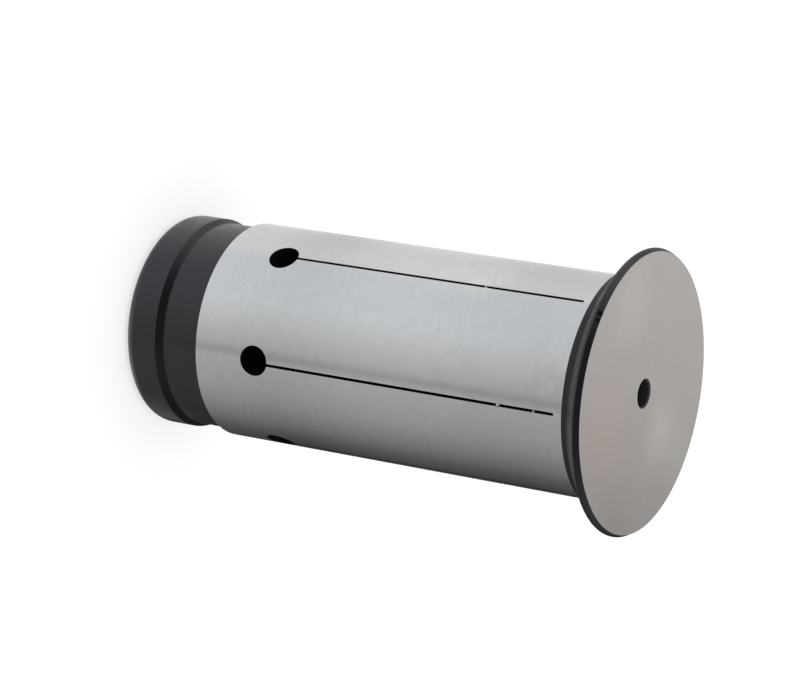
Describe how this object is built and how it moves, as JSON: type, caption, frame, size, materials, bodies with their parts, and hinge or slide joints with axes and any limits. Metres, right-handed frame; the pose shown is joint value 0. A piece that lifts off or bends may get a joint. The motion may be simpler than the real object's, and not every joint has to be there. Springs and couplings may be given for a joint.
{
  "type": "hydraulic chuck collet",
  "caption": "Slotted steel reduction sleeve with a flanged front face, a small tool bore and a ground shank that slides into a hydraulic chuck.",
  "frame": {"origin": "centre of the rear end face, on the axis", "axes": "+Z along the axis, out of the front face; one slit lies 40 degrees from +X towards +Y"},
  "size_m": [0.032, 0.032, 0.0605],
  "materials": {
    "steel": "ground shank and front face, dark oxide film on the rim, neck, rear ring and holes"
  },
  "bodies": {
    "root": {"collet_sleeve": "steel"}
  },
  "joints": []
}
